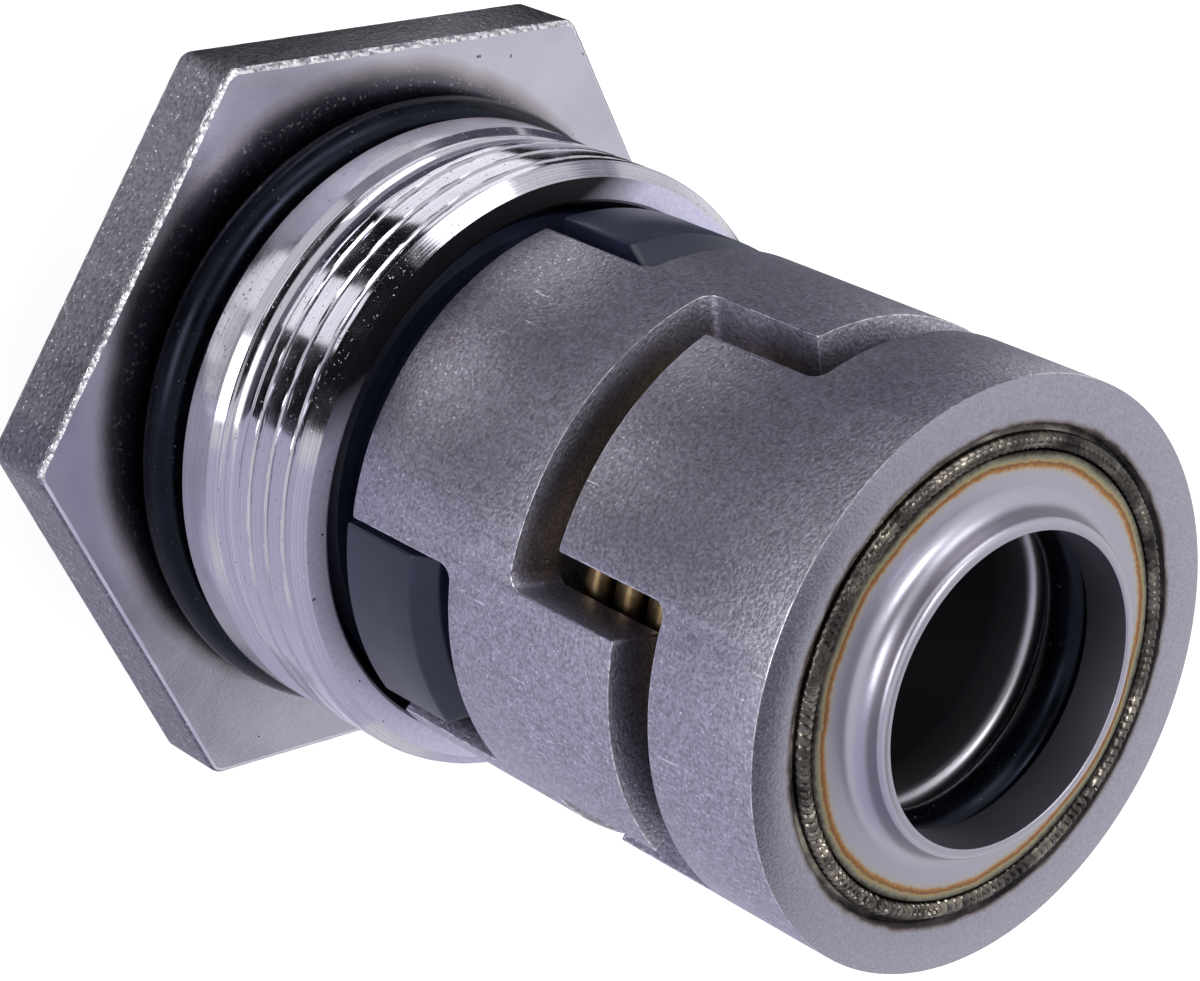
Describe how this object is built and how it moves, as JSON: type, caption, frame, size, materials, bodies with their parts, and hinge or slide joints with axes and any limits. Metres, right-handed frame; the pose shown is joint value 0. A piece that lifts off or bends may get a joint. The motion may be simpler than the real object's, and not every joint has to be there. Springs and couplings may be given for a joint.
{
  "type": "cartridge mechanical seal",
  "caption": "Cartridge mechanical shaft seal: hexagon gland with threaded boss, ceramic seal rings, sprung castellated drive and a sleeve with clamp collar.",
  "frame": {"origin": "centre of the clamp collar's end face, the bottom of the seal as it stands", "axes": "+Z along the shaft axis from the clamp collar to the welded drive end, +X through the middle of one flat of the hexagon"},
  "size_m": [0.041, 0.047, 0.062],
  "materials": {
    "cast_steel": "satin",
    "sintered_steel": "matte",
    "steel": "satin",
    "weld": "satin",
    "spring_steel": "polished",
    "seal_ceramic": "satin",
    "rubber": "satin"
  },
  "bodies": {
    "gland": {"hex_gland": "cast_steel", "gland_o_ring": "rubber", "stationary_seat": "seal_ceramic", "seat_o_ring": "rubber", "seat_pin": "steel"},
    "rotor": {"shaft_sleeve": "steel", "clamp_collar": "steel", "retaining_ring": "steel", "spring_housing": "sintered_steel", "shaft_o_ring": "rubber", "drive_cap": "steel", "weld_bead": "weld", "spring": "spring_steel"},
    "carrier": {"ring_carrier": "sintered_steel", "rotating_ring": "seal_ceramic", "ring_o_ring": "rubber"},
    "screw_1": {"set_screw_1": "steel"},
    "screw_2": {"set_screw_2": "steel"},
    "screw_3": {"set_screw_3": "steel"}
  },
  "joints": [
    {"name": "rotor_spin", "type": "hinge", "parent": "gland", "child": "rotor", "pos_m": [0, 0, 0.03], "axis": [0, 0, 1], "continuous": true},
    {"name": "carrier_float", "type": "slide", "parent": "rotor", "child": "carrier", "axis": [0, 0, 1], "range_m": [0, 0.0025], "stiffness_N_per_m": 2000, "springref_m": -0.002, "deforming": ["spring"]},
    {"name": "screw_1_out", "type": "slide", "parent": "rotor", "child": "screw_1", "axis": [0.866, 0.5, 0], "range_m": [0, 0.0011]},
    {"name": "screw_2_out", "type": "slide", "parent": "rotor", "child": "screw_2", "axis": [-0.866, 0.5, 0], "range_m": [0, 0.0011]},
    {"name": "screw_3_out", "type": "slide", "parent": "rotor", "child": "screw_3", "axis": [0, -1, 0], "range_m": [0, 0.0011]}
  ]
}
